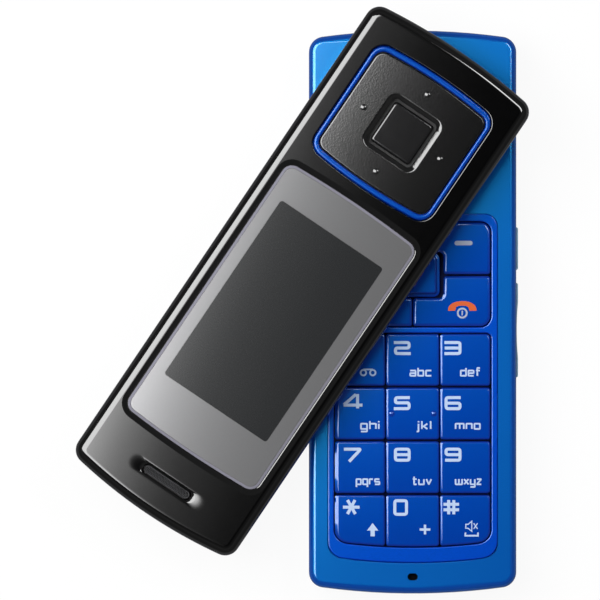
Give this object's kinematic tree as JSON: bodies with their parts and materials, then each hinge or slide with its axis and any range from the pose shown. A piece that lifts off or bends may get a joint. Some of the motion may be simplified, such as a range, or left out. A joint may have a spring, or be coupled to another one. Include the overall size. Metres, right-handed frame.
{
  "type": "swivel mobile telephone",
  "caption": "Pocket telephone with a keypad base and a display cover that swivels over it, sprung keys, rocking navigation plate, sliding battery cover and port flap.",
  "frame": {"origin": "middle of the base's flat back face, on which the telephone lies", "axes": "+X across the keypad to the user's right, +Y along the base towards the swivel end, +Z out of the keypad"},
  "size_m": [0.0696, 0.0903, 0.0193],
  "materials": {
    "blue_metallic": "blue metallic lacquer on moulded plastic, satin with a fine grain",
    "blue_trim": "deep blue metallic trim, semi-gloss",
    "blue_keys": "deep blue moulded key caps, semi-gloss",
    "side_controls": "dark blue moulded plastic",
    "soft_plug": "blue soft-touch elastomer",
    "black_gloss": "high-gloss black moulded plastic",
    "black_grained": "black moulded plastic with a fine leather grain",
    "black_key": "black semi-gloss plastic",
    "window": "hard-coated clear plastic with a grey mask printed on its back",
    "silicone": "translucent grey silicone",
    "spring_steel": "stamped spring steel",
    "steel": "plated steel",
    "circuit_board": "green solder mask over glass-fibre board",
    "polyimide": "amber polyimide ribbon",
    "battery_wrap": "dark printed film over an aluminium can, without lettering",
    "black_component": "black moulded component bodies",
    "motor_can": "drawn steel can",
    "mesh": "black woven wire",
    "display": "display glass, switched off",
    "key_legend": "pale grey pad-printed digits, letters and signs on the keys",
    "call_legend": "orange pad-printed handset sign on the end key"
  },
  "bodies": {
    "base": {"base_front_housing": "blue_metallic", "base_rear_housing": "blue_metallic", "battery": "battery_wrap", "battery_connector": "black_component", "sim_socket": "steel", "main_pcb": "circuit_board", "shield_cans": "steel", "microphone": "black_component", "io_connector": "black_component", "loudspeaker": "black_component", "vibration_motor": "motor_can", "camera_module": "black_component", "camera_window": "window", "antenna": "black_component", "keypad_bezel": "blue_trim", "keypad_membrane": "silicone", "dome_sheet": "spring_steel", "hinge_stator_plate": "steel", "hinge_wave_spring": "spring_steel", "hinge_plate_screws": "steel", "hinge_flex_lower": "polyimide", "base_screws": "steel"},
    "cover": {"cover_front_frame": "black_gloss", "cover_rear_housing": "black_gloss", "display_window": "window", "display_module": "display", "display_bracket": "steel", "cover_pcb": "circuit_board", "nav_ring": "blue_trim", "nav_dome_sheet": "spring_steel", "earpiece_mesh": "mesh", "earpiece_receiver": "black_component", "hinge_rotor": "steel", "hinge_stop_washer": "steel", "hinge_flex_upper": "polyimide", "cover_screws": "steel"},
    "key_1": {"key_1": "blue_keys"},
    "key_2": {"key_2": "blue_keys"},
    "key_3": {"key_3": "blue_keys"},
    "key_4": {"key_4": "blue_keys"},
    "key_5": {"key_5": "blue_keys"},
    "key_6": {"key_6": "blue_keys"},
    "key_7": {"key_7": "blue_keys"},
    "key_8": {"key_8": "blue_keys"},
    "key_9": {"key_9": "blue_keys"},
    "key_star": {"key_star": "blue_keys"},
    "key_0": {"key_0": "blue_keys"},
    "key_hash": {"key_hash": "blue_keys"},
    "left_soft_key": {"left_soft_key": "blue_keys"},
    "right_soft_key": {"right_soft_key": "blue_keys"},
    "call_key": {"call_key": "blue_keys"},
    "end_key": {"end_key": "blue_keys"},
    "clear_key": {"clear_key": "blue_keys"},
    "volume_key": {"volume_key": "side_controls"},
    "camera_key": {"camera_key": "side_controls"},
    "port_cover": {"port_cover": "soft_plug"},
    "battery_cover": {"battery_cover": "blue_metallic"},
    "nav_pad": {"nav_rubber_pad": "silicone"},
    "nav_plate": {"nav_plate": "black_grained"},
    "ok_key": {"ok_key": "black_key"}
  },
  "joints": [
    {"name": "cover_swivel", "type": "hinge", "parent": "base", "child": "cover", "pos_m": [0, 0.03, 0.0113], "axis": [0, 0, 1], "range_deg": [-146, 34]},
    {"name": "key_1_press", "type": "slide", "parent": "base", "child": "key_1", "axis": [0, 0, -1], "range_m": [0, 0.00025], "stiffness_N_per_m": 4000},
    {"name": "key_2_press", "type": "slide", "parent": "base", "child": "key_2", "axis": [0, 0, -1], "range_m": [0, 0.00025], "stiffness_N_per_m": 4000},
    {"name": "key_3_press", "type": "slide", "parent": "base", "child": "key_3", "axis": [0, 0, -1], "range_m": [0, 0.00025], "stiffness_N_per_m": 4000},
    {"name": "key_4_press", "type": "slide", "parent": "base", "child": "key_4", "axis": [0, 0, -1], "range_m": [0, 0.00025], "stiffness_N_per_m": 4000},
    {"name": "key_5_press", "type": "slide", "parent": "base", "child": "key_5", "axis": [0, 0, -1], "range_m": [0, 0.00025], "stiffness_N_per_m": 4000},
    {"name": "key_6_press", "type": "slide", "parent": "base", "child": "key_6", "axis": [0, 0, -1], "range_m": [0, 0.00025], "stiffness_N_per_m": 4000},
    {"name": "key_7_press", "type": "slide", "parent": "base", "child": "key_7", "axis": [0, 0, -1], "range_m": [0, 0.00025], "stiffness_N_per_m": 4000},
    {"name": "key_8_press", "type": "slide", "parent": "base", "child": "key_8", "axis": [0, 0, -1], "range_m": [0, 0.00025], "stiffness_N_per_m": 4000},
    {"name": "key_9_press", "type": "slide", "parent": "base", "child": "key_9", "axis": [0, 0, -1], "range_m": [0, 0.00025], "stiffness_N_per_m": 4000},
    {"name": "key_star_press", "type": "slide", "parent": "base", "child": "key_star", "axis": [0, 0, -1], "range_m": [0, 0.00025], "stiffness_N_per_m": 4000},
    {"name": "key_0_press", "type": "slide", "parent": "base", "child": "key_0", "axis": [0, 0, -1], "range_m": [0, 0.00025], "stiffness_N_per_m": 4000},
    {"name": "key_hash_press", "type": "slide", "parent": "base", "child": "key_hash", "axis": [0, 0, -1], "range_m": [0, 0.00025], "stiffness_N_per_m": 4000},
    {"name": "left_soft_key_press", "type": "slide", "parent": "base", "child": "left_soft_key", "axis": [0, 0, -1], "range_m": [0, 0.00025], "stiffness_N_per_m": 4000},
    {"name": "right_soft_key_press", "type": "slide", "parent": "base", "child": "right_soft_key", "axis": [0, 0, -1], "range_m": [0, 0.00025], "stiffness_N_per_m": 4000},
    {"name": "call_key_press", "type": "slide", "parent": "base", "child": "call_key", "axis": [0, 0, -1], "range_m": [0, 0.00025], "stiffness_N_per_m": 4000},
    {"name": "end_key_press", "type": "slide", "parent": "base", "child": "end_key", "axis": [0, 0, -1], "range_m": [0, 0.00025], "stiffness_N_per_m": 4000},
    {"name": "clear_key_press", "type": "slide", "parent": "base", "child": "clear_key", "axis": [0, 0, -1], "range_m": [0, 0.00025], "stiffness_N_per_m": 4000},
    {"name": "volume_key_rock", "type": "hinge", "parent": "base", "child": "volume_key", "pos_m": [0.0146, -0.0028, 0.0076], "axis": [0, 0, 1], "range_deg": [-1.5, 1.5], "stiffness_Nm_per_rad": 0.2},
    {"name": "camera_key_press", "type": "slide", "parent": "base", "child": "camera_key", "axis": [-1, 0, 0], "range_m": [0, 0.00025], "stiffness_N_per_m": 4000},
    {"name": "port_cover_swing", "type": "hinge", "parent": "base", "child": "port_cover", "pos_m": [-0.01562, 0.00562, 0.0068], "axis": [0, 0, -1], "range_deg": [0, 90]},
    {"name": "battery_cover_slide", "type": "slide", "parent": "base", "child": "battery_cover", "axis": [0, -1, 0], "range_m": [0, 0.056]},
    {"name": "nav_tilt_sideways", "type": "hinge", "parent": "cover", "child": "nav_pad", "pos_m": [-0.00171, 0.02747, 0.0171], "axis": [0.5592, 0.829, 0], "range_deg": [-1.4, 1.4], "stiffness_Nm_per_rad": 0.3},
    {"name": "nav_tilt_endways", "type": "hinge", "parent": "nav_pad", "child": "nav_plate", "pos_m": [-0.00171, 0.02747, 0.0171], "axis": [0.829, -0.5592, 0], "range_deg": [-1.4, 1.4], "stiffness_Nm_per_rad": 0.3},
    {"name": "ok_key_press", "type": "slide", "parent": "cover", "child": "ok_key", "axis": [0, 0, -1], "range_m": [0, 0.0003], "stiffness_N_per_m": 4000}
  ]
}
